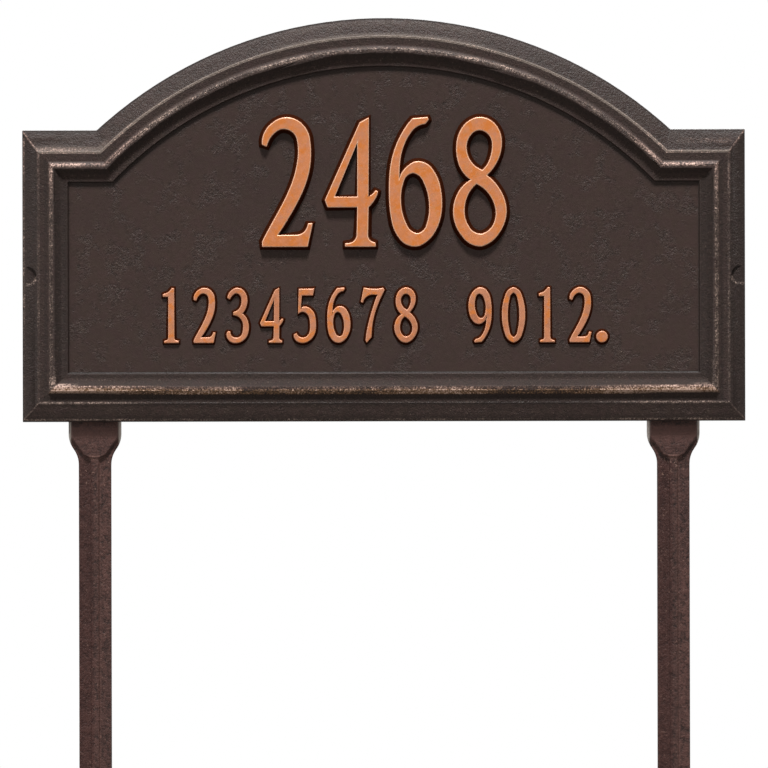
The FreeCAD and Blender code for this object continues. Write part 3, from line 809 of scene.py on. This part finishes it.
def screw_steel():
    material, tree, shader, place = new_material("screw_steel")
    grain = cast_grain(tree, place, 0.8)
    colour = blend(tree, grain["Clouds"], ZINC_DARK, ZINC_LIGHT)
    colour = coat(tree, colour, ZINC_SPECK, grain["Specks"], 0.5)
    socket(tree, colour, shader.inputs["Base Color"])
    shader.inputs["Metallic"].default_value = 0.9
    socket(tree, grainy_roughness(tree, grain, 0.25, 0.25), shader.inputs["Roughness"])
    bump(tree, shader, grain["Pebbles"], 0.05 * MM, 0.4)
    return material


bronze = rubbed_bronze()
brown = stake_paint()
steel = screw_steel()


# The plate: the casting without its numbers, its panel closed again and its edges softened
def make_plate():
    piece = casting_copy("plaque", "plate")

    def on_panel(centre):
        inside = border_inset(centre.x, centre.z) > PANEL_START - 0.05 * MM
        return inside and centre.y < -PANEL_LEVEL + 0.4 * MM

    mark_faces(piece, on_panel)
    edit(piece)
    bpy.ops.mesh.delete(type="FACE")
    bpy.ops.mesh.select_mode(type="EDGE")
    bpy.ops.mesh.select_all(action="DESELECT")
    bpy.ops.mesh.select_non_manifold(extend=False)
    bpy.ops.mesh.edge_face_add()
    done()

    # the narrow flat on the ridge closes up into one line, which is rounded like a bead
    def on_crown(place):
        return place.y < -CROWN_LEVEL + 0.02 * MM

    mark_edges(piece, on_crown)
    edit(piece, "VERT")
    bpy.ops.mesh.remove_doubles(threshold=CROWN_WIDTH)
    done()
    round_edges(piece, on_crown, CROWN_WIDTH, 4)

    def on_rim(place):
        return from_outline(place.x, place.z) < 0.7 * MM and abs(place.y + RIM_LEVEL) < 0.1 * MM

    round_edges(piece, on_rim, RIM_ROUNDING, 3)
    soften(piece, PLATE_ROUNDING)
    press_flat(piece, CROWN_LEVEL)
    piece.data.materials.append(bronze)
    return piece


# The numbers: the casting's own faces and walls, the walls drafted down into the panel
def make_numbers(name, on_line, level, draft, rounding, joined):
    piece = casting_copy("plaque", name)

    def not_a_number(centre):
        inside = border_inset(centre.x, centre.z) > PANEL_START + 0.5 * MM
        return not (inside and centre.y < -PANEL_LEVEL - 0.05 * MM and on_line(centre))

    mark_faces(piece, not_a_number)
    edit(piece)
    bpy.ops.mesh.delete(type="FACE")
    bpy.ops.mesh.select_all(action="SELECT")
    bpy.ops.mesh.remove_doubles(threshold=joined)
    bpy.ops.mesh.dissolve_limited(angle_limit=NUMBER_FLAT)
    # the rim left open at the panel goes outwards by the draft and down into the panel
    bpy.ops.mesh.select_mode(type="EDGE")
    bpy.ops.mesh.select_all(action="DESELECT")
    bpy.ops.mesh.select_non_manifold(extend=False)
    bpy.ops.transform.shrink_fatten(value=draft)
    bpy.ops.transform.translate(value=(0, SINK, 0))
    done()
    round_hard_edges(piece, rounding, 3, NUMBER_HARD_EDGE)
    # where the rounding crosses itself in a sharp inner corner it is pressed flat again
    press_flat(piece, level)
    shade(piece, NUMBER_SMOOTH_BELOW)
    return piece


def on_large_line(centre):
    return centre.z > LINE_SPLIT


def on_small_line(centre):
    return centre.z < LINE_SPLIT


plate = make_plate()
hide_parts("plaque")

large_numbers = make_numbers(
    "large_numbers", on_large_line, LARGE_LEVEL,
    draft=2.6 * MM, rounding=0.55 * MM, joined=0.3 * MM,
)
large_numbers.data.materials.append(number_copper("large_copper", LARGE_LEVEL, LARGE_FACES, 0.7))

small_numbers = make_numbers(
    "small_numbers", on_small_line, SMALL_LEVEL,
    draft=2.1 * MM, rounding=0.35 * MM, joined=0.22 * MM,
)
small_numbers.data.materials.append(number_copper("small_copper", SMALL_LEVEL, SMALL_FACES, 0.25))

for piece in (plate, large_numbers, small_numbers):
    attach(piece, "root")


# The stakes and their screws: the castings themselves with softened edges
for side in ("left", "right"):
    stake = casting_copy(f"stake_{side}", f"stake_{side}_casting")
    soften(stake, STAKE_ROUNDING, 3)
    stake.data.materials.append(brown)
    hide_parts(f"stake_{side}")
    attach(stake, "root")
    for level in ("lower", "upper"):
        node = f"screw_{side}_{level}"
        screw = casting_copy(node, f"{node}_turned")
        soften(screw, SCREW_ROUNDING)
        screw.data.materials.append(steel)
        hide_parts(node)
        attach(screw, "root")


# Studio: a pale floor under the points that fades into the white all round, light from above
WHITE = 1, 1, 1, 1
FLOOR_LIT = rgb(120, 119, 117)
FLOOR_SEEN = rgb(222, 221, 218)
SKY = 0.178, 0.168, 0.157, 1
SKY_MIRRORED = 0.82, 0.79, 0.76, 1
FLOOR_SIZE = 16
FLOOR_DROP = 0.5 * MM

# azimuth, elevation and softness in degrees, and strength
LAMPS = {
    "overhead": (2, 65, 10, 5.0),
    "left_fill": (-55, 15, 40, 0.5),
    "behind": (165, 32, 40, 2.2),
}


def make_floor():
    bpy.ops.mesh.primitive_plane_add(size=FLOOR_SIZE, location=(0, 0, -FLOOR_DROP))
    floor = bpy.context.object
    floor.name = "floor"
    material, tree, shader, place = new_material("pale_floor")
    rays = tree.nodes.new("ShaderNodeLightPath").outputs
    colour = blend(tree, rays["Is Camera Ray"], FLOOR_LIT, FLOOR_SEEN)
    socket(tree, colour, shader.inputs["Base Color"])
    shader.inputs["Roughness"].default_value = 0.9
    shader.inputs["Specular IOR Level"].default_value = 0.0
    far = shader_node(tree, "ShaderNodeVectorMath", [place], operation="LENGTH").outputs["Value"]
    seen = times(tree, fade(tree, far, 0.5, 1.2), rays["Is Camera Ray"])
    white = shader_node(tree, "ShaderNodeEmission", [WHITE])
    mixed = shader_node(tree, "ShaderNodeMixShader", [seen, shader.outputs[0], white.outputs[0]])
    socket(tree, mixed.outputs[0], tree.nodes["Material Output"].inputs["Surface"])
    floor.data.materials.append(material)


def make_world():
    world = bpy.data.worlds.new("studio")
    bpy.context.scene.world = world
    world.use_nodes = True
    tree = world.node_tree
    rays = tree.nodes.new("ShaderNodeLightPath").outputs
    # white all round in the picture, and in reflections except straight in front and behind
    away = tree.nodes.new("ShaderNodeTexCoord").outputs["Object"]
    aside = fade(tree, size_of(tree, axes(tree, away)["Y"]), 0.85, 0.3)
    mirrored = times(tree, rays["Is Glossy Ray"], aside)
    seen = most(tree, rays["Is Camera Ray"], rays["Is Transmission Ray"])
    soft = blend(tree, mirrored, SKY, SKY_MIRRORED)
    socket(tree, blend(tree, seen, soft, WHITE), tree.nodes["Background"].inputs["Color"])


def make_lamps():
    for name, (azimuth, elevation, softness, strength) in LAMPS.items():
        light = bpy.data.lights.new(name, "SUN")
        light.angle = math.radians(softness)
        light.energy = strength
        holder = bpy.data.objects.new(name, light)
        holder.rotation_euler = (math.radians(90 - elevation), 0, math.radians(azimuth))
        bpy.context.scene.collection.objects.link(holder)


make_floor()
make_world()
make_lamps()


# Camera: straight on with a long lens, as far up and turned as in the photograph
PHOTO_SIZE = 768
PLATE_PIXELS = 724.0
PLATE_FOOT_ROW = 421.5
PIXEL = 2 * HALF_WIDTH / PLATE_PIXELS
ROLL = math.radians(0.12)
LENS = 200.0
SENSOR = 36.0
DISTANCE = PHOTO_SIZE * PIXEL * LENS / SENSOR
EYE_HEIGHT = PLATE_BOTTOM + (PLATE_FOOT_ROW - PHOTO_SIZE / 2) * PIXEL

camera_data = bpy.data.cameras.new("camera")
camera_data.lens = LENS
camera_data.sensor_width = SENSOR
camera = bpy.data.objects.new("camera", camera_data)
camera.location = (0, -DISTANCE - RIM_LEVEL, EYE_HEIGHT)
camera.rotation_euler = (math.pi / 2, ROLL, 0)
bpy.context.scene.collection.objects.link(camera)
bpy.context.scene.camera = camera
bpy.context.scene.view_settings.view_transform = "Standard"
